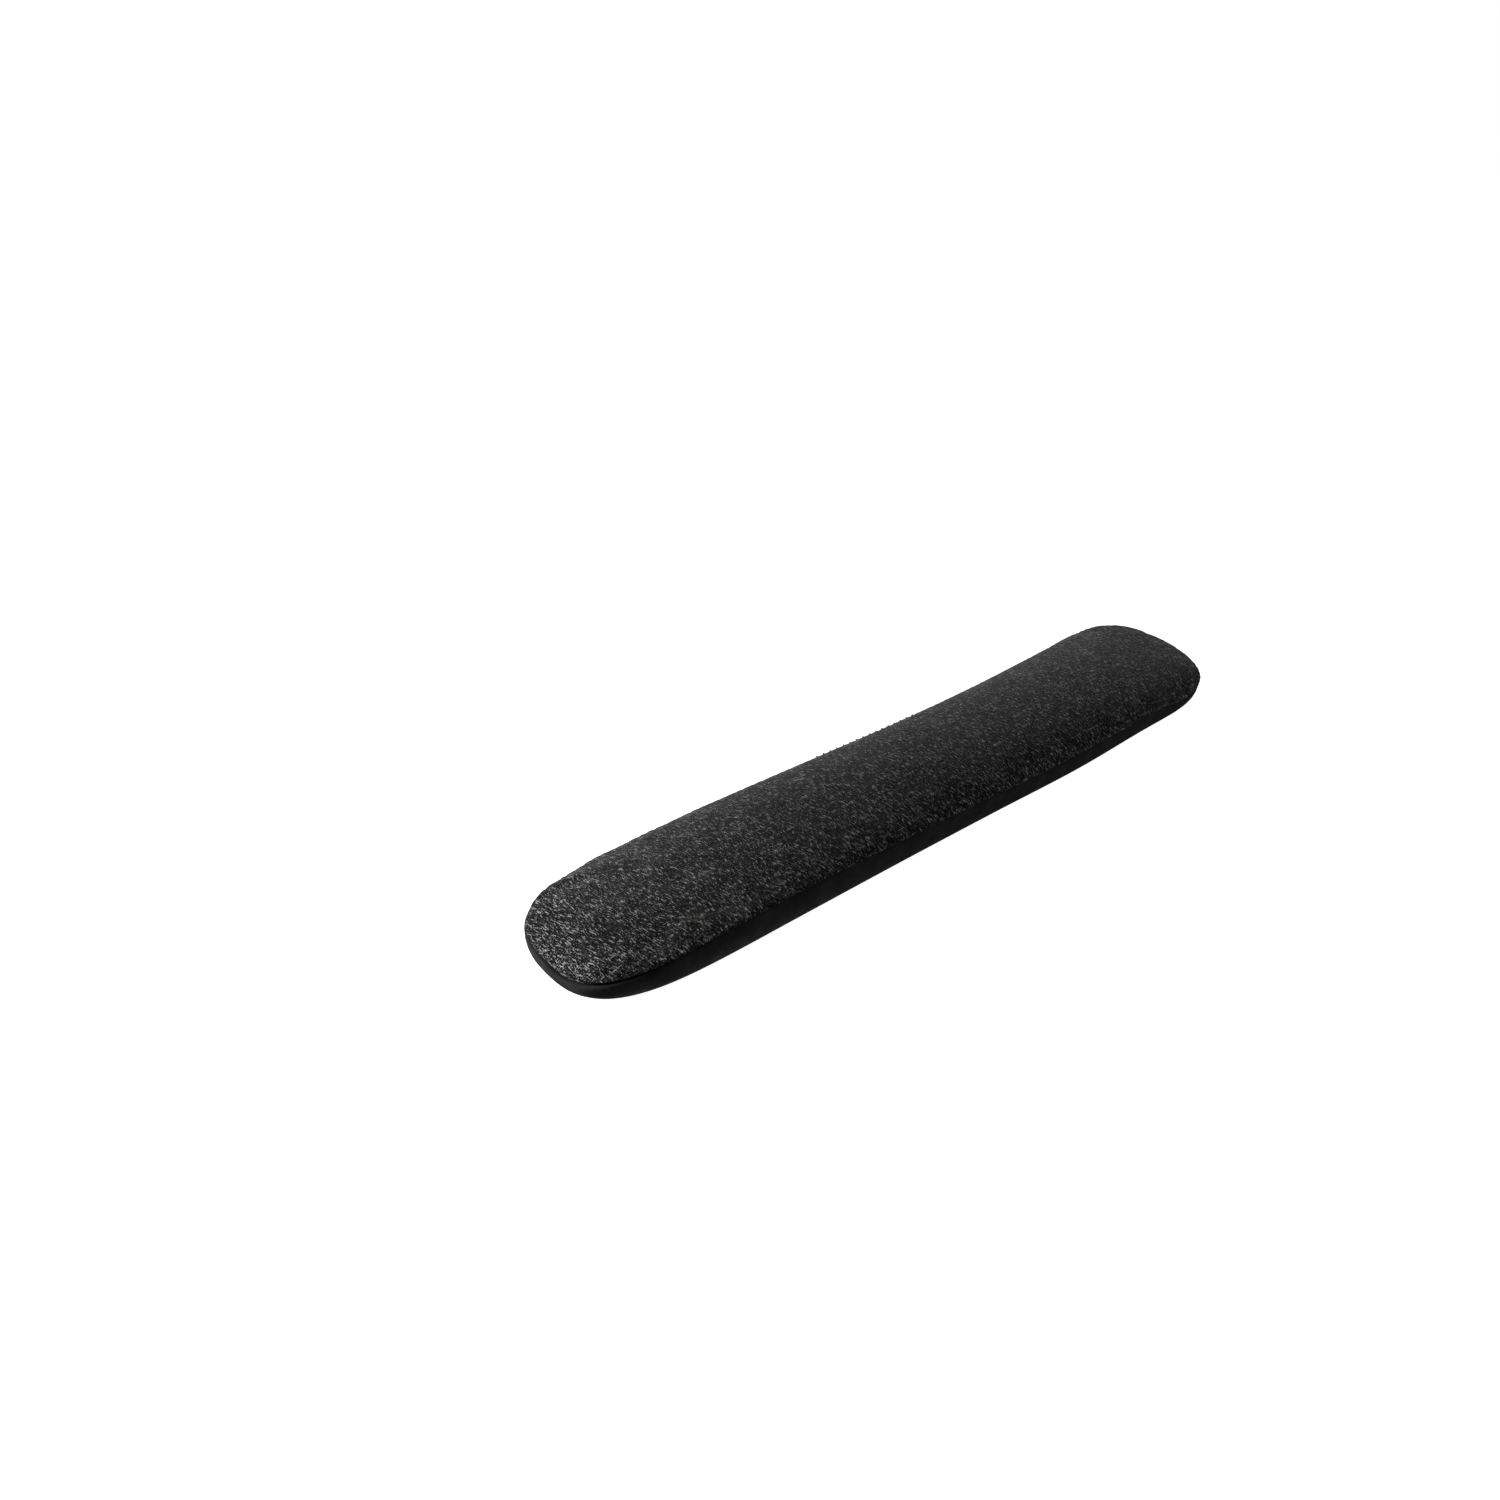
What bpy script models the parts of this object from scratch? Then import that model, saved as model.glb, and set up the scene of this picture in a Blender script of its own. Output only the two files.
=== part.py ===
"""Sewn wrist cushion that lies in front of a keyboard.

A crowned upper panel and a deeper lower panel are joined round their edge by a turned-in seam. Inside
them is a lined bag of loose fill. Metres, +Z up: +X runs along the cushion, +Y points towards the
keyboard, and the origin lies on the surface that the cushion rests on, under the middle of its
bounding box.
"""

import math

import bmesh
import bpy
from mathutils import Vector

# The finished cushion
LENGTH = 0.425
FRONT_REACH = 0.037  # from the line that the panels are drawn on to the straight front edge
WAIST_REACH = 0.033  # from the same line to the back edge, at the middle of the length
END_REACH = 0.042  # to the same edge at the tips, before the ends are rounded off
HEIGHT = 0.026
SEAM_HEIGHT = 0.016
SEAM_DROP = 0.0035  # how much lower the seam runs at the tips

# How the outline and the crown are rounded
END_POWER = 11.0
SIDE_POWER = 2.45
SPINE_MARGIN = 0.060  # the crest of the crown stops this far from each tip
CROWN_DROP = 0.32  # share of its rise that the crown loses towards the tips
CROWN_POWER = 2.07
CROWN_ROUND = 1.86
FALL_POWER = 4  # the seam and the crest stay level along the middle and fall near the tips
BASE_ROLL = 0.0065  # how far the lower panel turns in under the cushion

# Cloth, thread and the room between them
COVER_THICKNESS = 0.0008
LINER_THICKNESS = 0.0004
THREAD_RADIUS = 0.0002
CLEARANCE = 0.0003
SEAM_GAP = 0.00015  # from the seam's own plane to each cloth that meets there
ALLOWANCE = 0.005  # width of the cover's turned-in edge
LINER_EDGE = 0.0068  # the liner's flat rim starts this far inside the cushion's outline
LINER_BODY = 0.0093  # and its bag starts here
LAYER_ROOM = 0.0010  # between the nested layers at the crest, and under the fill
LINER_RISE = HEIGHT - COVER_THICKNESS - LAYER_ROOM - SEAM_HEIGHT - SEAM_GAP - LINER_THICKNESS
LINER_FLOOR = COVER_THICKNESS + CLEARANCE
FILL_INSET = LINER_BODY + 2 * LINER_THICKNESS
FILL_RISE = LINER_RISE + SEAM_GAP - LAYER_ROOM
FILL_FLOOR = LINER_FLOOR + LINER_THICKNESS + LAYER_ROOM
INNER_ROLL = 0.003

# How finely the curved surfaces are divided
STRAIGHT_SHARE = 0.8
STRAIGHT_STEPS = 16
CORNER_STEPS = 7
CROWN_LEVELS = (1.0, 0.94, 0.8, 0.6, 0.38, 0.12)
ROLL_STEPS = 3

# Stitches
COVER_CROSSINGS = 64
LINER_CROSSINGS = 72
STITCH_BITE = 0.0010  # how far a stitch reaches over the cloth's raw edge
CLOSING_LENGTH = 0.070
CLOSING_CROSSINGS = 15
CLOSING_REACH = 0.0016  # how far each closing stitch lies above and below the seam

# Linear base colours
CHARCOAL_KNIT = (0.030, 0.030, 0.032, 1.0)
BLACK_CLOTH = (0.008, 0.008, 0.009, 1.0)
BLACK_THREAD = (0.012, 0.012, 0.013, 1.0)
LINER_CLOTH = (0.55, 0.55, 0.53, 1.0)
FILL_BEADS = (0.78, 0.77, 0.74, 1.0)


def back_edge(s):
    return WAIST_REACH + (END_REACH - WAIST_REACH) * s * s


def end_taper(s):
    """Share of the full depth that is left at s, from 1 in the middle to 0 at the tips."""
    return max(0.0, 1 - abs(s) ** END_POWER) ** (1 / SIDE_POWER)


def station_list():
    """Places along the half length, from -1 to 1, close together where the ends turn."""
    turn = math.acos(STRAIGHT_SHARE ** (END_POWER / 2))
    angles = [turn * (1 - step / CORNER_STEPS) for step in range(1, CORNER_STEPS + 1)]
    tip = [math.cos(angle) ** (2 / END_POWER) for angle in angles]
    steps = range(STRAIGHT_STEPS + 1)
    straight = [STRAIGHT_SHARE * (2 * step / STRAIGHT_STEPS - 1) for step in steps]
    return [-s for s in reversed(tip)] + straight + tip


STATIONS = station_list()
INNER_STATIONS = STATIONS[1:-1]
LOOP = (
    [(-1.0, 0)]
    + [(s, -1) for s in INNER_STATIONS]
    + [(1.0, 0)]
    + [(s, 1) for s in reversed(INNER_STATIONS)]
)


def raw_edge(s, side):
    """The outline's y before the cushion is centred on its bounding box."""
    middle = (back_edge(s) - FRONT_REACH) / 2
    return middle + side * (back_edge(s) + FRONT_REACH) / 2 * end_taper(s)


RAW_EDGES = [raw_edge(s, side) for s, side in LOOP]
CENTRE_Y = (min(RAW_EDGES) + max(RAW_EDGES)) / 2


def outline(s, side, inset):
    """The point on the edge at s, moved in by inset. side is -1 in front and 1 at the back."""
    middle = (back_edge(s) - FRONT_REACH) / 2 - CENTRE_Y
    half = (back_edge(s) + FRONT_REACH) / 2 - inset
    return Vector((s * (LENGTH / 2 - inset), middle + side * half * end_taper(s), 0))


def spine(s):
    """The point on the crest that the crown rises to from the outline at s."""
    limit = LENGTH / 2 - SPINE_MARGIN
    x = max(-limit, min(limit, s * LENGTH / 2))
    along = x / (LENGTH / 2)
    return Vector((x, (back_edge(along) - FRONT_REACH) / 2 - CENTRE_Y, 0))


def fall(x):
    """0 along the middle of the cushion, growing to 1 at the tips."""
    return abs(x / (LENGTH / 2)) ** FALL_POWER


def seam_height(x):
    return SEAM_HEIGHT - SEAM_DROP * fall(x)


def ring(bm, inset, height):
    """A closed row of vertices round the cushion. height gives z from a vertex's x."""
    made = []
    for s, side in LOOP:
        point = outline(s, side, inset)
        point.z = height(point.x)
        made.append(bm.verts.new(point))
    return made


def crown_ring(bm, inset, rise, lift, level):
    """One contour of the crown, at level 1 on the outline and towards 0 on the crest."""
    share = (1 - level**CROWN_POWER) ** (1 / CROWN_ROUND)
    made = []
    for s, side in LOOP:
        point = spine(s).lerp(outline(s, side, inset), level)
        drop = 1 - CROWN_DROP * fall(point.x)
        point.z = seam_height(point.x) + lift + rise * drop * share
        made.append(bm.verts.new(point))
    return made


def band(bm, upper, lower):
    """Faces that join two rings, seen from outside the cushion."""
    for i in range(len(LOOP)):
        j = (i + 1) % len(LOOP)
        bm.faces.new((lower[i], lower[j], upper[j], upper[i]))


def crown(bm, inset, rise, lift):
    """The crowned surface over the outline. Returns the ring along its lower edge."""
    rings = [crown_ring(bm, inset, rise, lift, level) for level in CROWN_LEVELS]
    for lower, upper in zip(rings, rings[1:]):
        band(bm, upper, lower)
    top = rings[-1]
    front = top[: len(STATIONS)]
    back = [top[0]] + list(reversed(top[len(STATIONS) :])) + [top[len(STATIONS) - 1]]
    bm.faces.new((front[0], front[1], back[1]))
    bm.faces.new((front[-2], front[-1], back[-2]))
    for i in range(1, len(front) - 2):
        bm.faces.new((front[i], front[i + 1], back[i + 1], back[i]))
    return rings[0]


def tray(bm, inset, roll, floor, lift, top=None):
    """The lower surface, with rolled sides and a flat floor. Returns the ring along its upper edge."""
    upper = top
    if upper is None:
        upper = ring(bm, inset, lambda x: seam_height(x) + lift)
    edge = upper
    for step in range(1, ROLL_STEPS + 1):
        angle = math.pi / 2 * step / ROLL_STEPS
        turned_in = inset + roll * (1 - math.cos(angle))
        share = 1 - math.sin(angle) if step < ROLL_STEPS else 0.0
        lower = ring(
            bm, turned_in, lambda x: floor + (seam_height(x) + lift - floor) * share
        )
        band(bm, upper, lower)
        upper = lower
    bm.faces.new(list(reversed(upper)))
    return edge


def material(name, colour, roughness):
    made = bpy.data.materials.new(name)
    made.use_nodes = True
    shader = made.node_tree.nodes["Principled BSDF"]
    shader.inputs["Base Color"].default_value = colour
    shader.inputs["Roughness"].default_value = roughness
    shader.inputs["Metallic"].default_value = 0.0
    return made


def mesh_object(name, bm, cloth, collection):
    mesh = bpy.data.meshes.new(name)
    bm.to_mesh(mesh)
    bm.free()
    mesh.shade_smooth()
    mesh.materials.append(cloth)
    made = bpy.data.objects.new(name, mesh)
    collection.objects.link(made)
    return made


def thicken(sheet, thickness):
    """Gives a sheet its thickness on the side that faces into the cushion."""
    solidify = sheet.modifiers.new("cloth thickness", "SOLIDIFY")
    solidify.thickness = thickness
    solidify.offset = -1.0
    solidify.use_even_offset = True


def make_top_cover(collection):
    bm = bmesh.new()
    edge = crown(bm, 0, HEIGHT - SEAM_HEIGHT - SEAM_GAP, SEAM_GAP)
    allowance = ring(bm, ALLOWANCE, lambda x: seam_height(x) + SEAM_GAP)
    band(bm, edge, allowance)
    cloth = material("charcoal knit", CHARCOAL_KNIT, 0.95)
    cover = mesh_object("top_cover", bm, cloth, collection)
    thicken(cover, COVER_THICKNESS)


def make_base_cover(collection):
    bm = bmesh.new()
    edge = tray(bm, 0, BASE_ROLL, 0, -SEAM_GAP)
    allowance = ring(bm, ALLOWANCE, lambda x: seam_height(x) - SEAM_GAP)
    band(bm, allowance, edge)
    cloth = material("black base cloth", BLACK_CLOTH, 0.8)
    cover = mesh_object("base_cover", bm, cloth, collection)
    thicken(cover, COVER_THICKNESS)


def make_liner(collection):
    """The inner bag's two halves, with flat rims that lie on each other."""
    cloth = material("liner cloth", LINER_CLOTH, 0.9)
    rim = SEAM_GAP + LINER_THICKNESS
    bm = bmesh.new()
    body = crown(bm, LINER_BODY, LINER_RISE, rim)
    edge = ring(bm, LINER_EDGE, lambda x: seam_height(x) + rim)
    band(bm, body, edge)
    thicken(mesh_object("liner_top", bm, cloth, collection), LINER_THICKNESS)
    bm = bmesh.new()
    body = tray(bm, LINER_BODY, INNER_ROLL, LINER_FLOOR, -rim)
    edge = ring(bm, LINER_EDGE, lambda x: seam_height(x) - rim)
    band(bm, edge, body)
    thicken(mesh_object("liner_base", bm, cloth, collection), LINER_THICKNESS)


def make_fill(collection):
    bm = bmesh.new()
    edge = crown(bm, FILL_INSET, FILL_RISE, 0)
    tray(bm, FILL_INSET, INNER_ROLL, FILL_FLOOR, 0, edge)
    beads = material("fill beads", FILL_BEADS, 0.6)
    mesh_object("bead_fill", bm, beads, collection)


def even_places(count):
    """count places at equal steps round the outline, each as (s, side)."""
    lengths = [0.0]
    points = [outline(s, side, 0) for s, side in LOOP]
    for here, there in zip(points, points[1:] + points[:1]):
        lengths.append(lengths[-1] + (there - here).length)
    sides = [-1] * len(STATIONS) + [1] * len(INNER_STATIONS)
    places = []
    for step in range(count):
        target = lengths[-1] * (step + 0.5) / count
        i = max(k for k in range(len(LOOP)) if lengths[k] <= target)
        share = (target - lengths[i]) / (lengths[i + 1] - lengths[i])
        start = LOOP[i][0]
        end = LOOP[(i + 1) % len(LOOP)][0]
        places.append((start + (end - start) * share, sides[i]))
    return places


def thread_object(name, points, cyclic, colour, collection):
    curve = bpy.data.curves.new(name, "CURVE")
    curve.dimensions = "3D"
    curve.bevel_depth = THREAD_RADIUS
    curve.bevel_resolution = 0
    curve.use_fill_caps = not cyclic
    spline = curve.splines.new("POLY")
    spline.points.add(len(points) - 1)
    for target, point in zip(spline.points, points):
        target.co = (*point, 1)
    spline.use_cyclic_u = cyclic
    curve.materials.append(colour)
    made = bpy.data.objects.new(name, curve)
    collection.objects.link(made)


def overedge_path(crossings, edge_inset, outwards, half_height):
    """A thread that wraps the raw edges of two cloths, once over and once under in turn.

    The cloths' edges lie edge_inset inside the outline. outwards is 1 where they are turned out, and
    -1 where they are turned in. half_height is from the seam's plane to the thread's centre.
    """
    past_edge = edge_inset - outwards * (CLEARANCE + THREAD_RADIUS)
    bite = edge_inset + outwards * STITCH_BITE
    points = []
    for number, (s, side) in enumerate(even_places(crossings)):
        above = half_height if number % 2 else -half_height
        steps = ((bite, above), (past_edge, above), (past_edge, -above), (bite, -above))
        for inset, height in steps:
            point = outline(s, side, inset)
            point.z = seam_height(point.x) + height
            points.append(point)
    return points


def make_threads(collection):
    colour = material("sewing thread", BLACK_THREAD, 0.7)
    over_cloth = SEAM_GAP + CLEARANCE + THREAD_RADIUS
    path = overedge_path(COVER_CROSSINGS, ALLOWANCE, -1, over_cloth + COVER_THICKNESS)
    thread_object("seam_thread", path, True, colour, collection)
    path = overedge_path(LINER_CROSSINGS, LINER_EDGE, 1, over_cloth + LINER_THICKNESS)
    thread_object("liner_thread", path, True, colour, collection)
    thread_object("closing_thread", closing_path(), False, colour, collection)


def closing_path():
    """A zigzag over the seam at the back, where the cushion was closed after filling."""
    outset = CLEARANCE + THREAD_RADIUS
    points = []
    for number in range(CLOSING_CROSSINGS):
        along = CLOSING_LENGTH * (number / (CLOSING_CROSSINGS - 1) - 0.5)
        point = outline(along / (LENGTH / 2), 1, -outset)
        above = CLOSING_REACH if number % 2 else -CLOSING_REACH
        point.z = seam_height(point.x) + above
        points.append(point)
    return points


def main():
    for old in list(bpy.data.objects):
        bpy.data.objects.remove(old)
    collection = bpy.data.collections.new("wrist rest")
    bpy.context.scene.collection.children.link(collection)
    make_top_cover(collection)
    make_base_cover(collection)
    make_liner(collection)
    make_fill(collection)
    make_threads(collection)


main()
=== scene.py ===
"""Looks of a sewn keyboard wrist cushion: a heathered knit top over a smooth black base.

The covers are laid out as rings round the cushion, from the crest of the top down to the seam and on
to the middle of the underside. A cloth simulation that inflates them gives them their fine folds, the
seam's stitches draw the knit in, and the two covers are then parted at the seam.
"""

import math

import bpy
import numpy as np
from mathutils import Matrix, Vector


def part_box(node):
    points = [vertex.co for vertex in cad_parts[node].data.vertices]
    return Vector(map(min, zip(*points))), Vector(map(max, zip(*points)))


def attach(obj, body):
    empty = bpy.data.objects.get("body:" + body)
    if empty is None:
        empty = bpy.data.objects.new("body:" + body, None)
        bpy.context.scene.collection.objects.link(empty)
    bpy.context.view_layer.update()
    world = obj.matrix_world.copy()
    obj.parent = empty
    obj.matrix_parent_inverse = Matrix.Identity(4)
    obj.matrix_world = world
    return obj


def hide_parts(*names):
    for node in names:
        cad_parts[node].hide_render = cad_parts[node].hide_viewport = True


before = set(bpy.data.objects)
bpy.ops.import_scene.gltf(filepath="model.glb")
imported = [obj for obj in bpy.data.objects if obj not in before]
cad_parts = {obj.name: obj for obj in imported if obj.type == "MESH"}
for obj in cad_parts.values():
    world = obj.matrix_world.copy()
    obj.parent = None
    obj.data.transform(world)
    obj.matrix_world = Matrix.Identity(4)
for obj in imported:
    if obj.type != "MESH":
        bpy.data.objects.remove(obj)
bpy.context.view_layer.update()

MM = 0.001
TINY = 1e-9  # keeps a division from being by zero
COVER_LOW, COVER_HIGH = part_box("top_cover")
HALF_LENGTH = (COVER_HIGH.x - COVER_LOW.x) / 2

# The filled cushion at places along its half length, in mm:
# share of the half length, front edge, back edge, crest
STATIONS = (
    (-1.00, -35.2, 37.8, 25.0),
    (-0.85, -36.3, 36.4, 25.2),
    (-0.50, -36.7, 35.3, 25.8),
    (-0.20, -36.9, 34.0, 26.0),
    (0.10, -37.6, 32.8, 26.0),
    (0.40, -38.7, 33.9, 25.8),
    (0.70, -37.2, 38.3, 25.6),
    (1.00, -38.2, 46.2, 25.4),
)
# The seam's height at places along the half length, in mm: share, in front, at the back
SEAM_LINE = (
    (-1.00, 7.0, 15.0),
    (-0.95, 12.3, 15.5),
    (-0.85, 16.3, 16.5),
    (-0.50, 19.8, 18.0),
    (-0.20, 17.8, 17.5),
    (0.20, 15.0, 16.5),
    (0.50, 14.5, 15.5),
    (0.70, 13.3, 14.5),
    (0.85, 9.0, 14.5),
    (1.00, 10.0, 14.5),
)
# The outline from above, and the crown, as powers in rounded curves
END_POWER = 11.2  # how late the outline narrows towards the tips
SIDE_POWER = 2.45  # and how squarely it turns there
CORNER_POWER = 2.6  # the same at the back of the left end, which is squarer
CREST_END_POWER = 3.71  # how late the crest falls towards the tips
CREST_END_ROUND = 1.81  # and how roundly
CROWN_POWER = 2.07  # the same for the top, from its middle to its edges
CROWN_ROUND = 1.5
SPINE_MARGIN = 70 * MM  # the rings close in on a line that stops this far short of the tips

# The seam and the base below it
KNIT_LIP = 0.9 * MM  # the knit is widest this far above the seam
BASE_LIP = 1.6 * MM  # and the base this far below it
LIP_DEPTH = 1.4 * MM  # the seam lies this far inside the outline
BASE_SETBACK = 0.3 * MM  # and the base's widest ring this far
BASE_LEDGE = 0.8 * MM  # round the left end the base stands out by this much more
END_CREASE = 1.3 * MM  # and the seam opens by this much
LEFT_END_START = 0.75  # both from this share of the half length
LEFT_END_SPAN = 0.2  # and in full after this much more of it
BASE_ROLL = 6.5 * MM  # the base rolls in this far to the flat underside
ALLOWANCE = 4.0 * MM  # the edges are turned in this far inside the seam
SEAM_GAP = 0.16 * MM
SEAM_LIFT_POWER = 8  # how near the seam the knit is lifted for that gap
CLOTH_THICKNESS = 0.6 * MM

# Puckers where the seam's stitches draw the knit in
PUCKER_PITCH = 4.2 * MM
PUCKER_DEPTH = 0.5 * MM
PUCKER_REACH = 5.0 * MM
PUCKER_EDGE = 0.6 * MM  # they die away this near the seam
PUCKER_WIDTH = 0.22  # as a share of the pitch, and so is the shift
PUCKER_WIDTHS = (0.8, 1.3)  # as shares of that width
PUCKER_SHIFT = 0.25
PUCKER_STRENGTHS = (0.25, 1.0)
PUCKER_SEED = 5

# Whip stitches over the seam at the back, where the cushion was closed after filling
CLOSING_LENGTH = 70 * MM
CLOSING_TURNS = 16
CLOSING_STEPS = 24  # points in a turn
CLOSING_ENDS = 0.25  # of a turn is left out at each end
CLOSING_INSET = 1.0 * MM  # from the outline to the middle of the stitches
CLOSING_DEPTH = 1.25 * MM
CLOSING_RISE = 2.2 * MM

# Overedge stitches round the raw edges inside the seam
INNER_TURNS = 130
INNER_STEPS = 10
INNER_INSET = 4.6 * MM
INNER_DEPTH = 1.3 * MM
INNER_RISE = 1.3 * MM

THREAD_RADIUS = 0.25 * MM
THREAD_SIDES = 6

# The rings of the covers
AROUND = 1280  # points in a ring
SIM_AROUND = 320  # and in the simulation's rings
CROWN_RINGS = 20
LIP_RINGS = 4
WALL_RINGS = 8
ALLOWANCE_RINGS = 2
FLOOR_LEVELS = (0.8, 0.6, 0.4, 0.2, 0.08)  # the underside's rings, as shares of its size
OUTLINE_SAMPLES = 4000  # places at which the outline's length is measured
TIP_SAMPLES = 200  # and closer ones next to each tip
TIP_NEAREST = 1e-7  # from this share of the half length short of the tip
TIP_SPAN = 5e-3  # to this one

# Cloth simulation
SIM_FRAMES = 20
SIM_PRESSURE = 4.0
SIM_CLOTH_EXCESS = 1.025  # the cloth is cut this much larger than the cushion
SIM_HELD_BELOW = 0.5 * MM  # the underside can't move
SIM_CAP = 6 * MM  # no point moves further
SIM_SMOOTH_SPAN = 7  # only folds narrower than about twice this many points are kept
KNIT_FOLDS = 0.22  # how much of the folds the stretchy knit keeps
BASE_FOLDS = 0.8
FOLD_FADE_RINGS = 7  # they fade in over the first rings of the crown, which are crowded

NOISE_MIDDLE = 0.5  # what a noise is on average

# The knit: columns and rows of loops, and light hairs and specks in the dark yarn
WALE = 0.95 * MM  # from column to column
COURSE = 0.75 * MM  # from row to row
SWAY = 1.5 * MM  # how far the columns wander
SWAY_SIZE = 5 * MM
HAIR_WIDTH = 0.5 * MM
HAIR_LENGTH = 2.6 * MM
HAIR_SLANTS = (0.0, 0.25)
HAIR_OFFSET = 7.3  # between the noises of the two slants
LOOP_SLANT = 0.7
LOOP_LEVEL = 0.4  # at this height of a loop its painted shade leaves the grey as it is
SPECKLE = 0.56 * MM
COARSE_SPECKLE = 1.2 * MM
KNIT_MOTTLE = 12 * MM
SPECKLE_SHARE, HAIR_SHARE, COARSE_SHARE = 0.52, 0.36, 0.12
LOOP_PAINTED_SHADE, MOTTLE_SHARE = 0.10, 0.10  # what the mottle and the loops' painted shade (darker between the loops, lighter on their tops) add to those
KNIT_WARMTH = 0.01
KNIT_SHADES = ((0.42, 0.001), (0.47, 0.002), (0.52, 0.006), (0.57, 0.018), (0.62, 0.055), (0.67, 0.22))
STREAK_LEVELS = (0.70, 0.80)  # the hairs' noise shows as streaks between these levels
STREAK_SHADE = 0.24
STREAK_STRENGTH = 0.5
YARN_RELIEF = 1.5  # how high the specks stand, against 1 for the loops
KNIT_RELIEF = 0.08 * MM

# The base's cloth, a fine knit with rubbed patches and a little dust
BASE_WALE = 0.42 * MM
BASE_COURSE = 0.32 * MM
RUBBED_SIZE = 9 * MM
DUST_SIZE = 0.6 * MM
RUBBED_LEVELS = (0.35, 0.75)
BASE_SHADES = (0.006, 0.012)
SHINE_LEVELS = (0.3, 0.8)
BASE_ROUGHNESS = (0.7, 0.52)
DUST_LEVELS = (0.76, 0.84)
DUST_SHADE = 0.066
DUST_STRENGTH = 0.5
RUBBED_RELIEF = 3.0  # how high the patches stand, against 1 for the loops
BASE_RELIEF = 0.06 * MM

# The thread, the inner bag and its filling
PLY = 0.25 * MM
THREAD_SHADES = (0.004, 0.03)
LINER_WEAVE_SCALE = 300
LINER_MOTTLE = 3 * MM
LINER_SHADES = (0.14, 0.24)
CLOTH_RELIEF = 0.05 * MM
BEAD = 1.2 * MM
# painted shade: each bead is lighter at its middle and darker towards its edges, where the beads meet
BEAD_PAINTED_SHADING = (0.75, 0.45)
BEAD_RELIEF = 0.4 * MM

# The camera, with its angles in degrees and its lens in mm
CAMERA_PLACE = Vector((-0.4618, -0.3606, 0.4057))
VIEW_AZIMUTH = -44.26
VIEW_ELEVATION = 33.58
VIEW_ROLL = 4.35
LENS = 35.34
SENSOR_WIDTH = 36

# The studio. Area lights: name, place, target, width, height, power in watts
LIGHTS = (
    ("back left", (-0.75, 0.6, 0.13), (-0.1, 0, 0), 0.25, 0.2, 12),
    ("left", (-0.35, 0.07, 0.12), (-0.2, 0, 0.01), 0.12, 0.1, 1.1),
    ("back right", (0.4, 0.35, 0.16), (0.15, 0, 0), 0.25, 0.15, 2.5),
    ("front", (0.25, -0.6, 0.12), (0.1, 0, 0), 0.3, 0.15, 1.8),
    ("below", (0, 0, -0.6), (0, 0, 0), 0.6, 0.3, 0.5),
)
WORLD_STRENGTH = 0.072
ROOM_RADIUS = 7
FLOOR_DROP = 0.05 * MM  # keeps the floor clear of the underside


# ---------------------------------------------------------------- the form of the cushion


def smooth_curve(table, column):
    """A smooth curve through a column of a table in mm, as a function of the share of the half length."""
    knots = np.array([row[0] for row in table])
    values = np.array([row[column] for row in table]) * MM
    slopes = np.gradient(values, knots)

    def curve(share):
        share = np.clip(share, -1, 1)
        i = np.clip(np.searchsorted(knots, share) - 1, 0, len(knots) - 2)
        width = knots[i + 1] - knots[i]
        t = (share - knots[i]) / width
        start = values[i] * (2 * t**3 - 3 * t**2 + 1) + slopes[i] * width * (t**3 - 2 * t**2 + t)
        end = values[i + 1] * (3 * t**2 - 2 * t**3) + slopes[i + 1] * width * (t**3 - t**2)
        return start + end

    return curve


front_edge = smooth_curve(STATIONS, 1)
back_edge = smooth_curve(STATIONS, 2)
crest_height = smooth_curve(STATIONS, 3)
front_seam = smooth_curve(SEAM_LINE, 1)
back_seam = smooth_curve(SEAM_LINE, 2)


def end_taper(share, side):
    """The outline's half width as a share of its full value, from 1 in the middle to 0 at the tips."""
    square = (np.asarray(side) > 0) & (share < 0)
    power = np.where(square, CORNER_POWER, SIDE_POWER)
    return np.clip(1 - np.abs(share) ** END_POWER, 0, 1) ** (1 / power)


def seam_height(share, side):
    """The seam's height, which changes smoothly from the front round the tips to the back."""
    across = side * end_taper(share, side)
    return front_seam(share) * (1 - across) / 2 + back_seam(share) * (1 + across) / 2


def outline(share, side, inset=0.0):
    """Points on the outline at these shares of the half length, moved in by inset."""
    middle = (front_edge(share) + back_edge(share)) / 2
    half = (back_edge(share) - front_edge(share)) / 2 - inset
    taper = end_taper(share, side)
    return np.stack([share * (HALF_LENGTH - inset), middle + side * half * taper], -1)


def even_outline(around):
    """This many places round the outline, from the left tip along the front: share and side.

    They are evenly spaced along the front, and the back's lie straight across from them.
    """
    ends = 1 - np.geomspace(TIP_NEAREST, TIP_SPAN, TIP_SAMPLES)
    between = np.linspace(TIP_SPAN - 1, 1 - TIP_SPAN, OUTLINE_SAMPLES)
    shares = np.concatenate([-ends, between, ends[::-1]])
    steps = np.linalg.norm(np.diff(outline(shares, -1), axis=0), axis=1)
    length = np.concatenate([[0], np.cumsum(steps)])
    front = np.interp(np.linspace(0, length[-1], around // 2 + 1), length, shares)
    front[0], front[-1] = -1, 1
    return np.concatenate([front, front[-2:0:-1]]), np.repeat([-1.0, 1.0], around // 2)


def spine(share):
    """The middle of the cushion at these shares of the half length, stopped short of the tips."""
    limit = HALF_LENGTH - SPINE_MARGIN
    x = np.clip(share * HALF_LENGTH, -limit, limit)
    along = x / HALF_LENGTH
    return np.stack([x, (front_edge(along) + back_edge(along)) / 2], -1)


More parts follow.
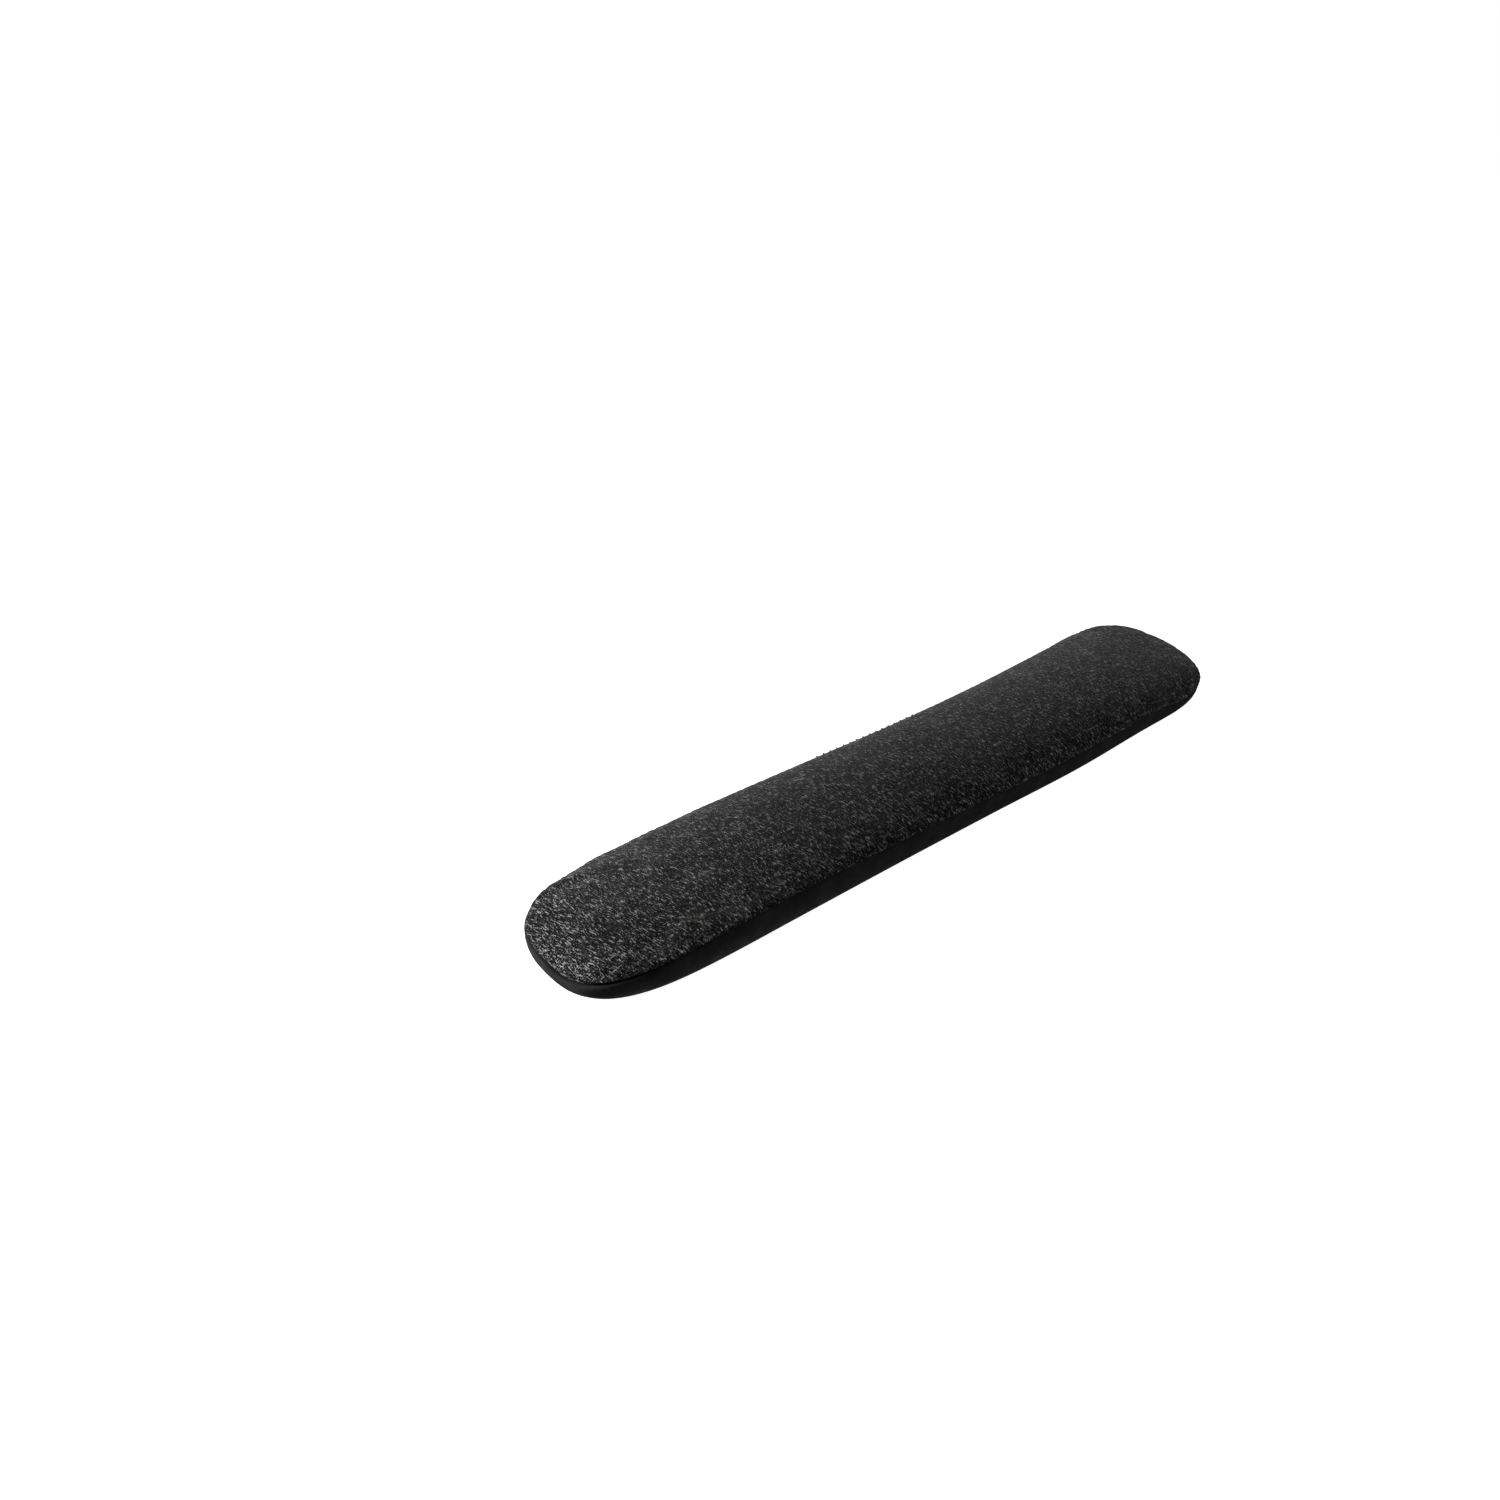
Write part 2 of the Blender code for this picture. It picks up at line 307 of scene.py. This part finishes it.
def crown_height(points):
    """The top's height over these plan points."""
    share = np.clip(points[:, 0] / HALF_LENGTH, -1, 1)
    middle = (front_edge(share) + back_edge(share)) / 2
    half = (back_edge(share) - front_edge(share)) / 2
    across = np.clip((points[:, 1] - middle) / half, -1, 1)
    reach = np.clip(np.abs(across) / np.maximum(end_taper(share, across), TINY), 0, 1)
    low = front_seam(share) * (1 - across) / 2 + back_seam(share) * (1 + across) / 2 + KNIT_LIP
    along = (1 - np.abs(share) ** CREST_END_POWER) ** (1 / CREST_END_ROUND)
    return low + (crest_height(share) - low) * along * (1 - reach**CROWN_POWER) ** (1 / CROWN_ROUND)


def with_height(plan, height):
    """Plan points made into points in space."""
    return np.column_stack([plan, np.broadcast_to(height, len(plan))])


def left_end(share):
    """Rises from 0 to 1 round the left end."""
    return np.clip((-share - LEFT_END_START) / LEFT_END_SPAN, 0, 1) ** 2


def base_setback(share):
    """How far the base's lip lies inside the outline. It stands out round the left end."""
    return BASE_SETBACK - BASE_LEDGE * left_end(share)


def open_seam(top, base):
    """Parts the two covers at the seam, by a hair's breadth, and further round the left end."""
    share = even_outline(top.shape[1])[0]
    top[..., 2] += SEAM_GAP / 2 * np.linspace(0, 1, len(top))[:, None] ** SEAM_LIFT_POWER
    lowered = np.linspace(1, 0, LIP_RINGS + 1)
    lowered = np.concatenate([np.ones(ALLOWANCE_RINGS), lowered])[:, None]
    base[: len(lowered), :, 2] -= lowered * (SEAM_GAP / 2 + END_CREASE * left_end(share))


def lip_ring(share, side, step, setback, rise):
    """A ring of a cover's rolled edge, from its widest place at step 0 to the seam at LIP_RINGS."""
    angle = math.pi / 2 * step / LIP_RINGS
    inset = setback + (LIP_DEPTH - setback) * (1 - math.cos(angle))
    height = seam_height(share, side) + rise * (1 - math.sin(angle))
    return with_height(outline(share, side, inset), height)


def cover_rings(around):
    """Every ring from the crest to the middle of the underside, and the number of the seam's ring."""
    share, side = even_outline(around)
    centre = spine(share)
    edge = outline(share, side)
    rings = []
    for step in range(1, CROWN_RINGS):
        level = math.sin(math.pi / 2 * step / CROWN_RINGS)
        plan = centre + (edge - centre) * level
        rings.append(with_height(plan, crown_height(plan)))
    rings += [lip_ring(share, side, step, 0, KNIT_LIP) for step in range(LIP_RINGS + 1)]
    seam_ring = len(rings) - 1
    setback = base_setback(share)
    rings += [lip_ring(share, side, step, setback, -BASE_LIP) for step in range(LIP_RINGS - 1, -1, -1)]
    wall_height = seam_height(share, side) - BASE_LIP
    for step in range(1, WALL_RINGS + 1):
        angle = math.pi / 2 * step / WALL_RINGS
        plan = outline(share, side, setback + (BASE_ROLL - setback) * (1 - math.cos(angle)))
        rings.append(with_height(plan, wall_height * (1 - math.sin(angle))))
    floor = rings[-1][:, :2]
    rings += [with_height(centre + (floor - centre) * level, 0.0) for level in FLOOR_LEVELS]
    return np.array(rings), seam_ring


# ---------------------------------------------------------------- meshes from rings


def cap_faces(start, around, facing_down):
    """Faces from the front half of a ring to its back half."""
    faces = []
    for i in range(around // 2):
        corners = [i, i + 1, around - i - 1, (around - i) % around]
        corners = [start + c for c in dict.fromkeys(corners)]
        if len(corners) > 2:
            faces.append(tuple(reversed(corners)) if facing_down else tuple(corners))
    return faces


def ring_faces(rings, cap_first, cap_last):
    """Quads between the rings, and strips that close the first or the last ring where asked for."""
    count, around = rings.shape[:2]
    faces = []
    for k in range(count - 1):
        upper, lower = k * around, (k + 1) * around
        for i in range(around):
            j = (i + 1) % around
            faces.append((lower + i, lower + j, upper + j, upper + i))
    if cap_first:
        faces += cap_faces(0, around, False)
    if cap_last:
        faces += cap_faces((count - 1) * around, around, True)
    return faces


def mesh_piece(name, points, faces):
    """An object in the scene, with smooth shading."""
    mesh = bpy.data.meshes.new(name)
    mesh.from_pydata([tuple(p) for p in points.reshape(-1, 3)], [], faces)
    mesh.shade_smooth()
    made = bpy.data.objects.new(name, mesh)
    bpy.context.scene.collection.objects.link(made)
    return made


def apply_modifiers(piece):
    """Makes the piece's modifiers part of its mesh."""
    evaluated = piece.evaluated_get(bpy.context.evaluated_depsgraph_get())
    mesh = bpy.data.meshes.new_from_object(evaluated)
    piece.modifiers.clear()
    piece.data = mesh


def finer_round(rings, around):
    """The same rings with this many points each, on smooth curves through the old ones."""
    waves = np.fft.rfft(rings, axis=1)
    return np.fft.irfft(waves, n=around, axis=1) * around / rings.shape[1]


def cloth_map(rings):
    """Where each point lies on the flat cloth: out from the middle by the length of the cloth."""
    steps = np.linalg.norm(np.diff(rings, axis=0), axis=2)
    reach = np.concatenate([np.zeros_like(steps[:1]), np.cumsum(steps, axis=0)])
    out = rings[-1, :, :2] - rings[0, :, :2]
    out /= np.linalg.norm(out, axis=1, keepdims=True)
    return rings[0, :, :2] + out * reach[..., None]


# ---------------------------------------------------------------- cloth simulation and seams


def inflated(rings, seam_ring):
    """Where the rings' points end up in a cloth simulation under pressure."""
    body = mesh_piece("inflating", rings, ring_faces(rings, True, True))
    start = rings.reshape(-1, 3)
    middle = start.mean(axis=0)
    body.shape_key_add(name="start")
    cut = body.shape_key_add(name="cut size")
    for point, place in zip(cut.data, start):
        point.co = Vector(middle + (place - middle) * SIM_CLOTH_EXCESS)
    around = rings.shape[1]
    held = list(range(seam_ring * around, (seam_ring + 1) * around))
    held += [i for i, place in enumerate(start) if place[2] < SIM_HELD_BELOW]
    body.vertex_groups.new(name="held").add(held, 1.0, "REPLACE")
    cloth = body.modifiers.new("cloth", "CLOTH")
    settings = cloth.settings
    settings.quality = 6
    settings.mass = 0.15
    settings.tension_stiffness = 12
    settings.compression_stiffness = 12
    settings.shear_stiffness = 4
    settings.bending_stiffness = 0.3
    settings.use_pressure = True
    settings.uniform_pressure_force = SIM_PRESSURE
    settings.vertex_group_mass = "held"
    settings.rest_shape_key = cut
    settings.effector_weights.gravity = 0
    cloth.point_cache.frame_start = 1
    cloth.point_cache.frame_end = SIM_FRAMES
    for number in range(1, SIM_FRAMES + 1):
        bpy.context.scene.frame_set(number)
    evaluated = body.evaluated_get(bpy.context.evaluated_depsgraph_get())
    filled = np.zeros(len(start) * 3)
    evaluated.data.vertices.foreach_get("co", filled)
    bpy.data.objects.remove(body)
    bpy.context.scene.frame_set(1)
    return filled.reshape(rings.shape)


def folds():
    """How far a cloth simulation moves the covers, less the slow part that would change their shape."""
    rings, seam_ring = cover_rings(SIM_AROUND)
    moved = inflated(rings, seam_ring) - rings
    length = np.linalg.norm(moved, axis=2, keepdims=True)
    moved *= np.minimum(1, SIM_CAP / np.maximum(length, TINY))
    span = range(-SIM_SMOOTH_SPAN, SIM_SMOOTH_SPAN + 1)
    slow = sum(np.roll(moved, k, 1) for k in span) / len(span)
    fine = moved - slow
    fine[:FOLD_FADE_RINGS] *= np.linspace(0, 1, FOLD_FADE_RINGS)[:, None, None] ** 2
    return finer_round(fine, AROUND)


def pucker_pulls(around, perimeter):
    """How much the seam's stitches draw the cloth in, from 0 to 1, at each place round the seam."""
    count = round(perimeter / PUCKER_PITCH)
    random = np.random.default_rng(PUCKER_SEED)
    places = (np.arange(count) + random.uniform(-PUCKER_SHIFT, PUCKER_SHIFT, count)) / count
    strengths = random.uniform(*PUCKER_STRENGTHS, count)
    widths = random.uniform(*PUCKER_WIDTHS, count) * PUCKER_WIDTH / count
    here = np.arange(around)[:, None] / around
    apart = np.abs(here - places)
    apart = np.minimum(apart, 1 - apart)
    return (strengths * np.exp(-((apart / widths) ** 2))).sum(axis=1)


def inward_from(edge):
    """Level directions that point inwards from the points of a ring."""
    along = np.roll(edge, -1, 0) - np.roll(edge, 1, 0)
    inward = np.stack([-along[:, 1], along[:, 0], np.zeros(len(along))], -1)
    return inward / np.linalg.norm(inward, axis=1, keepdims=True)


def pucker(rings, from_seam):
    """The rings drawn in at each of the seam's stitches."""
    edge = rings[-1]
    perimeter = np.linalg.norm(np.roll(edge, -1, 0) - edge, axis=1).sum()
    pulls = pucker_pulls(rings.shape[1], perimeter)[:, None]
    fade = np.exp(-((from_seam / PUCKER_REACH) ** 2))[..., None]
    edge_fade = np.minimum(1, from_seam / PUCKER_EDGE)[..., None]
    return rings + inward_from(edge) * pulls * PUCKER_DEPTH * fade * edge_fade


def seam_distance(rings):
    """Each point's distance from the last ring, along the cloth."""
    steps = np.linalg.norm(np.diff(rings, axis=0), axis=2)
    return np.concatenate([np.cumsum(steps[::-1], axis=0)[::-1], np.zeros_like(steps[:1])])


def allowance_rings(edge):
    """Rings of the turned-in seam allowance, level with the seam."""
    inward = inward_from(edge)
    steps = range(1, ALLOWANCE_RINGS + 1)
    return np.array([edge + inward * ALLOWANCE * step / ALLOWANCE_RINGS for step in steps])


# ---------------------------------------------------------------- materials


# A Mix node has a set of sockets for each kind of data, and these are the ones for colours
MIX_INPUTS = (0, 6, 7)
MIX_OUTPUT = 2


class Look:
    """A procedural material, with short calls that add nodes to it."""

    def __init__(self, name, roughness=0.5, sheen=0.0, specular=0.3):
        self.material = bpy.data.materials.new(name)
        self.material.use_nodes = True
        self.tree = self.material.node_tree
        self.shader = self.tree.nodes["Principled BSDF"]
        self.shader.inputs["Roughness"].default_value = roughness
        self.shader.inputs["Sheen Weight"].default_value = sheen
        self.shader.inputs["Specular IOR Level"].default_value = specular

    def node(self, kind, **settings):
        made = self.tree.nodes.new(kind)
        for name, value in settings.items():
            setattr(made, name, value)
        return made

    def feed(self, socket, value):
        """Gives a socket a link or, from a plain value, a constant."""
        if isinstance(value, bpy.types.NodeSocket):
            self.tree.links.new(value, socket)
        else:
            socket.default_value = value

    def math(self, operation, *values):
        made = self.node("ShaderNodeMath", operation=operation)
        for socket, value in zip(made.inputs, values):
            self.feed(socket, value)
        return made.outputs[0]

    def place(self, x, y, z):
        made = self.node("ShaderNodeCombineXYZ")
        for socket, value in zip(made.inputs, (x, y, z)):
            self.feed(socket, value)
        return made.outputs[0]

    def noise(self, where, scale, detail=0.0):
        made = self.node("ShaderNodeTexNoise")
        self.feed(made.inputs["Vector"], where)
        made.inputs["Scale"].default_value = scale
        made.inputs["Detail"].default_value = detail
        return made.outputs["Fac"]

    def ramp(self, value, low, high, bottom=0.0, top=1.0):
        made = self.node("ShaderNodeMapRange", interpolation_type="SMOOTHSTEP")
        for socket, number in zip(made.inputs, (value, low, high, bottom, top)):
            self.feed(socket, number)
        return made.outputs["Result"]

    def mix(self, share, first, second):
        made = self.node("ShaderNodeMix", data_type="RGBA")
        for number, value in zip(MIX_INPUTS, (share, first, second)):
            self.feed(made.inputs[number], value)
        return made.outputs[MIX_OUTPUT]

    def bump(self, height, distance):
        made = self.node("ShaderNodeBump")
        made.inputs["Distance"].default_value = distance
        self.feed(made.inputs["Height"], height)
        self.feed(self.shader.inputs["Normal"], made.outputs["Normal"])

    def colour(self, value):
        self.feed(self.shader.inputs["Base Color"], value)


def grey(level, warmth=0.0):
    """A grey as a colour, with a little more red and less blue where it is warm."""
    return (level * (1 + warmth), level, level * (1 - warmth), 1)


def knit_loops(look, across, along, wale, course):
    """The height of the loops of a plain knit: slanting legs, side by side in columns."""
    column = look.math("FRACT", look.math("DIVIDE", across, wale))
    out = look.math("ABSOLUTE", look.math("SUBTRACT", look.math("MULTIPLY", column, 2.0), 1.0))
    slant = look.math("MULTIPLY", out, LOOP_SLANT)
    turn = look.math("SUBTRACT", look.math("DIVIDE", along, course), slant)
    wave = look.math("SINE", look.math("MULTIPLY", turn, 2 * math.pi))
    legs = look.math("SINE", look.math("MULTIPLY", out, math.pi))
    rise = look.math("MULTIPLY_ADD", wave, 0.5, 0.5)
    return look.math("MULTIPLY", rise, legs)


def fibres(look, across, along, slant, offset):
    """Noise that is drawn out along the cloth, at this slant, like the light hairs in the yarn."""
    leaning = look.math("ADD", across, look.math("MULTIPLY", along, slant))
    across_hairs = look.math("DIVIDE", leaning, HAIR_WIDTH)
    along_hairs = look.math("DIVIDE", along, HAIR_LENGTH)
    return look.noise(look.place(across_hairs, along_hairs, offset), scale=1.0)


def above(look, value, level, share):
    """How far a value is above a level, times a share."""
    return look.math("MULTIPLY", look.math("SUBTRACT", value, level), share)


def shade_ramp(look, value, shades):
    """The knit's greys at these positions of a value, blended in between."""
    made = look.node("ShaderNodeValToRGB")
    look.feed(made.inputs["Fac"], value)
    stops = made.color_ramp.elements
    while len(stops) < len(shades):
        stops.new(0.5)
    for stop, (position, shade) in zip(stops, shades):
        stop.position = position
        stop.color = grey(shade, KNIT_WARMTH)
    return made.outputs["Color"]


def knit_look():
    """Dark yarn with light specks and slanting hairs, over the relief of the loops, with painted shade
    that darkens the yarn between the loops.
    """
    look = Look("heathered knit", roughness=0.9, sheen=0.085, specular=0.03)
    look.shader.inputs["Sheen Roughness"].default_value = 0.3
    cloth = look.node("ShaderNodeUVMap", uv_map="cloth").outputs["UV"]
    split = look.node("ShaderNodeSeparateXYZ")
    look.feed(split.inputs[0], cloth)
    sway = above(look, look.noise(cloth, 1 / SWAY_SIZE, detail=1.0), NOISE_MIDDLE, SWAY)
    across = look.math("ADD", split.outputs["X"], sway)
    along = split.outputs["Y"]
    loops = knit_loops(look, across, along, WALE, COURSE)
    hairs = 0.0
    for number, slant in enumerate(HAIR_SLANTS):
        hairs = look.math("MAXIMUM", hairs, fibres(look, across, along, slant, HAIR_OFFSET * number))
    speckle = look.noise(cloth, 1 / SPECKLE, detail=1.0)
    coarse = look.noise(cloth, 1 / COARSE_SPECKLE, detail=1.0)
    mottle = look.noise(cloth, 1 / KNIT_MOTTLE, detail=2.0)
    mixed = look.math("MULTIPLY_ADD", speckle, SPECKLE_SHARE, look.math("MULTIPLY", hairs, HAIR_SHARE))
    mixed = look.math("MULTIPLY_ADD", coarse, COARSE_SHARE, mixed)
    # painted shade: the yarn's colour is darker between the loops and lighter on their tops
    mixed = look.math("ADD", mixed, above(look, loops, LOOP_LEVEL, LOOP_PAINTED_SHADE))
    mixed = look.math("ADD", mixed, above(look, mottle, NOISE_MIDDLE, MOTTLE_SHARE))
    streaks = look.ramp(hairs, *STREAK_LEVELS, top=STREAK_STRENGTH)
    look.colour(look.mix(streaks, shade_ramp(look, mixed, KNIT_SHADES), grey(STREAK_SHADE)))
    look.bump(look.math("ADD", loops, look.math("MULTIPLY", mixed, YARN_RELIEF)), KNIT_RELIEF)
    return look.material


def base_cloth_look():
    """A fine black knit, shinier and a little lighter where it is rubbed, with specks of dust."""
    look = Look("smooth black cloth", sheen=0.015, specular=0.06)
    cloth = look.node("ShaderNodeUVMap", uv_map="cloth").outputs["UV"]
    split = look.node("ShaderNodeSeparateXYZ")
    look.feed(split.inputs[0], cloth)
    loops = knit_loops(look, split.outputs["X"], split.outputs["Y"], BASE_WALE, BASE_COURSE)
    rubbed = look.noise(cloth, 1 / RUBBED_SIZE, detail=3.0)
    dust = look.noise(cloth, 1 / DUST_SIZE, detail=1.0)
    dark, light = (grey(shade) for shade in BASE_SHADES)
    coloured = look.mix(look.ramp(rubbed, *RUBBED_LEVELS), dark, light)
    dusty = look.ramp(dust, *DUST_LEVELS, top=DUST_STRENGTH)
    look.colour(look.mix(dusty, coloured, grey(DUST_SHADE)))
    look.feed(look.shader.inputs["Roughness"], look.ramp(rubbed, *SHINE_LEVELS, *BASE_ROUGHNESS))
    look.bump(look.math("ADD", loops, look.math("MULTIPLY", rubbed, RUBBED_RELIEF)), BASE_RELIEF)
    return look.material


def thread_look():
    look = Look("black thread", roughness=0.45, sheen=0.1, specular=0.5)
    where = look.node("ShaderNodeTexCoord").outputs["Object"]
    plies = look.noise(where, 1 / PLY, detail=2.0)
    dark, light = (grey(shade) for shade in THREAD_SHADES)
    look.colour(look.mix(plies, dark, light))
    look.bump(plies, CLOTH_RELIEF)
    return look.material


def liner_look():
    look = Look("grey liner cloth", roughness=0.8)
    where = look.node("ShaderNodeTexCoord").outputs["Object"]
    weave = look.node("ShaderNodeTexWave", wave_type="BANDS", bands_direction="DIAGONAL")
    look.feed(weave.inputs["Vector"], where)
    weave.inputs["Scale"].default_value = LINER_WEAVE_SCALE
    dark, light = (grey(shade) for shade in LINER_SHADES)
    look.colour(look.mix(look.noise(where, 1 / LINER_MOTTLE, detail=3.0), dark, light))
    look.bump(weave.outputs["Fac"], CLOTH_RELIEF)
    return look.material


def fill_look():
    look = Look("bead filling", roughness=0.6, specular=0.4)
    where = look.node("ShaderNodeTexCoord").outputs["Object"]
    beads = look.node("ShaderNodeTexVoronoi")
    look.feed(beads.inputs["Vector"], where)
    beads.inputs["Scale"].default_value = 1 / BEAD
    from_middle = beads.outputs["Distance"]
    # painted shade: lighter at each bead's middle, darker towards its edges
    light, dark = (grey(shade) for shade in BEAD_PAINTED_SHADING)
    look.colour(look.mix(from_middle, light, dark))
    look.bump(look.math("SUBTRACT", 1.0, from_middle), BEAD_RELIEF)
    return look.material


def paper_look(name, shade, glow):
    """Paper with a glow, so that it looks evenly white. It can't be seen from behind."""
    look = Look(name, roughness=0.9, specular=0.0)
    look.colour(grey(shade))
    look.shader.inputs["Emission Color"].default_value = (1, 1, 1, 1)
    look.shader.inputs["Emission Strength"].default_value = glow
    behind = look.node("ShaderNodeNewGeometry").outputs["Backfacing"]
    show = look.node("ShaderNodeMixShader")
    look.feed(show.inputs[0], behind)
    look.feed(show.inputs[1], look.shader.outputs[0])
    look.feed(show.inputs[2], look.node("ShaderNodeBsdfTransparent").outputs[0])
    look.feed(look.tree.nodes["Material Output"].inputs["Surface"], show.outputs[0])
    return look.material


# ---------------------------------------------------------------- pieces


def keep_cad_nodes():
    """Puts the finishes on the CAD pieces that stay: the inner bag, its thread and its filling."""
    liner = liner_look()
    finishes = {
        "liner_thread": thread_look(),
        "liner_top": liner,
        "liner_base": liner,
        "bead_fill": fill_look(),
    }
    for name, finish in finishes.items():
        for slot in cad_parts[name].material_slots:
            slot.material = finish


def cover(name, rings, places, cap_first, cap_last, finish):
    """A cover with its cloth map and its thickness, as one closed piece."""
    piece = mesh_piece(name, rings, ring_faces(rings, cap_first, cap_last))
    layer = piece.data.uv_layers.new(name="cloth")
    corners = np.zeros(len(piece.data.loops), dtype=int)
    piece.data.loops.foreach_get("vertex_index", corners)
    layer.data.foreach_set("uv", places.reshape(-1, 2)[corners].ravel())
    piece.data.materials.append(finish)
    thick = piece.modifiers.new("thickness", "SOLIDIFY")
    thick.thickness = CLOTH_THICKNESS
    thick.offset = -1
    apply_modifiers(piece)
    return piece


def make_covers():
    """The knit top and the black base, in place of the CAD's two covers."""
    rings, seam_ring = cover_rings(AROUND)
    moved = folds()
    moved[: seam_ring + 1] *= KNIT_FOLDS
    moved[seam_ring + 1 :] *= BASE_FOLDS
    rings = rings + moved
    top = rings[: seam_ring + 1]
    top = pucker(top, seam_distance(top))
    base = rings[seam_ring:]
    top = np.concatenate([top, allowance_rings(top[-1])])
    base = np.concatenate([allowance_rings(base[0])[::-1], base])
    top_map = cloth_map(top)
    base_map = cloth_map(base[::-1])[::-1]
    open_seam(top, base)
    knit = cover("knit_top", top, top_map, True, False, knit_look())
    black = cover("black_base", base, base_map, False, True, base_cloth_look())
    covers = ((knit, "top_cover", "top_knit"), (black, "base_cover", "base_cloth"))
    for piece, node, slot in covers:
        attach(piece, "root")
        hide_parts(node)


def thread_tube(path, axis):
    """Rings of points round a path that winds about this axis, given as points close together."""
    along = np.gradient(path, axis=0)
    along /= np.linalg.norm(along, axis=1, keepdims=True)
    across = np.cross(along, axis)
    across /= np.linalg.norm(across, axis=1, keepdims=True)
    other = np.cross(along, across)
    angles = 2 * math.pi * np.arange(THREAD_SIDES) / THREAD_SIDES
    round_path = np.cos(angles)[:, None, None] * across + np.sin(angles)[:, None, None] * other
    return path[:, None, :] + THREAD_RADIUS * round_path.transpose(1, 0, 2)


def add_thread(name, node, rings):
    """A thread in place of the one that the CAD has."""
    stitches = mesh_piece(name, rings, ring_faces(rings, True, True))
    stitches.data.materials.append(thread_look())
    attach(stitches, "root")
    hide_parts(node)


def make_closing_stitches():
    """The whip stitches, wound round the line of the seam."""
    turns = np.linspace(CLOSING_ENDS, CLOSING_TURNS - CLOSING_ENDS, CLOSING_TURNS * CLOSING_STEPS)
    angle = 2 * math.pi * turns
    share = CLOSING_LENGTH * (turns / CLOSING_TURNS - 0.5) / HALF_LENGTH
    inset = CLOSING_INSET + CLOSING_DEPTH * np.cos(angle)
    plan = outline(share, np.ones(len(share)))
    plan[:, 1] -= inset
    path = with_height(plan, seam_height(share, 1) + CLOSING_RISE * np.sin(angle))
    add_thread("closing_stitches", "closing_thread", thread_tube(path, (1.0, 0.0, 0.0)))


def make_seam_stitches():
    """The overedge stitches on the covers' raw edges, inside, where only a cut would show them."""
    count = INNER_TURNS * INNER_STEPS
    share, side = even_outline(count)
    angle = 2 * math.pi * np.arange(count) / INNER_STEPS
    crease = END_CREASE * left_end(share) / 2
    plan = outline(share, side, INNER_INSET + INNER_DEPTH * np.cos(angle))
    rise = (INNER_RISE + crease) * np.sin(angle) - crease
    path = with_height(plan, seam_height(share, side) + rise)
    seam = with_height(outline(share, side), seam_height(share, side))
    add_thread("seam_stitches", "seam_thread", thread_tube(path, np.gradient(seam, axis=0)))


# ---------------------------------------------------------------- camera and studio


def make_camera():
    data = bpy.data.cameras.new("camera")
    data.lens = LENS
    data.sensor_width = SENSOR_WIDTH
    camera = bpy.data.objects.new("camera", data)
    bpy.context.scene.collection.objects.link(camera)
    a, e, roll = (math.radians(v) for v in (VIEW_AZIMUTH, VIEW_ELEVATION, VIEW_ROLL))
    back = Vector((math.sin(a) * math.cos(e), -math.cos(a) * math.cos(e), math.sin(e)))
    level = Vector((0, 0, 1)).cross(back).normalized()
    right = level * math.cos(roll) + back.cross(level) * math.sin(roll)
    turn = Matrix((right, back.cross(right), back)).transposed()
    camera.matrix_world = Matrix.Translation(CAMERA_PLACE) @ turn.to_4x4()
    bpy.context.scene.camera = camera


def area_light(name, place, target, width, height, power):
    """A light that the camera doesn't see."""
    data = bpy.data.lights.new(name, "AREA")
    data.shape = "RECTANGLE"
    data.size = width
    data.size_y = height
    data.energy = power
    light = bpy.data.objects.new(name, data)
    bpy.context.scene.collection.objects.link(light)
    light.visible_camera = False
    light.location = place
    light.rotation_euler = (Vector(target) - Vector(place)).to_track_quat("-Z", "Y").to_euler()


def make_stage_piece(name, finish):
    """Makes the new object a piece of the studio that throws no light or shadow on the cushion."""
    piece = bpy.context.active_object
    piece.name = name
    piece.visible_diffuse = False
    piece.visible_glossy = False
    piece.visible_shadow = False
    piece.data.materials.append(finish)


def make_studio():
    """Lights, a floor and a backdrop all round, which are white from every side."""
    world = bpy.data.worlds.new("studio")
    world.use_nodes = True
    background = world.node_tree.nodes["Background"]
    background.inputs["Color"].default_value = (1, 1, 1, 1)
    background.inputs["Strength"].default_value = WORLD_STRENGTH
    bpy.context.scene.world = world
    bpy.context.scene.view_settings.view_transform = "Standard"
    for light in LIGHTS:
        area_light(*light)
    bpy.ops.mesh.primitive_plane_add(size=2 * ROOM_RADIUS, location=(0, 0, -FLOOR_DROP))
    make_stage_piece("floor", paper_look("pale paper", shade=0.5, glow=0.97))
    bpy.ops.mesh.primitive_uv_sphere_add(radius=ROOM_RADIUS, segments=64, ring_count=32)
    bpy.context.active_object.data.flip_normals()
    make_stage_piece("backdrop", paper_look("white backdrop", shade=0.0, glow=1.0))


make_camera()
make_studio()
keep_cad_nodes()
make_covers()
make_closing_stitches()
make_seam_stitches()
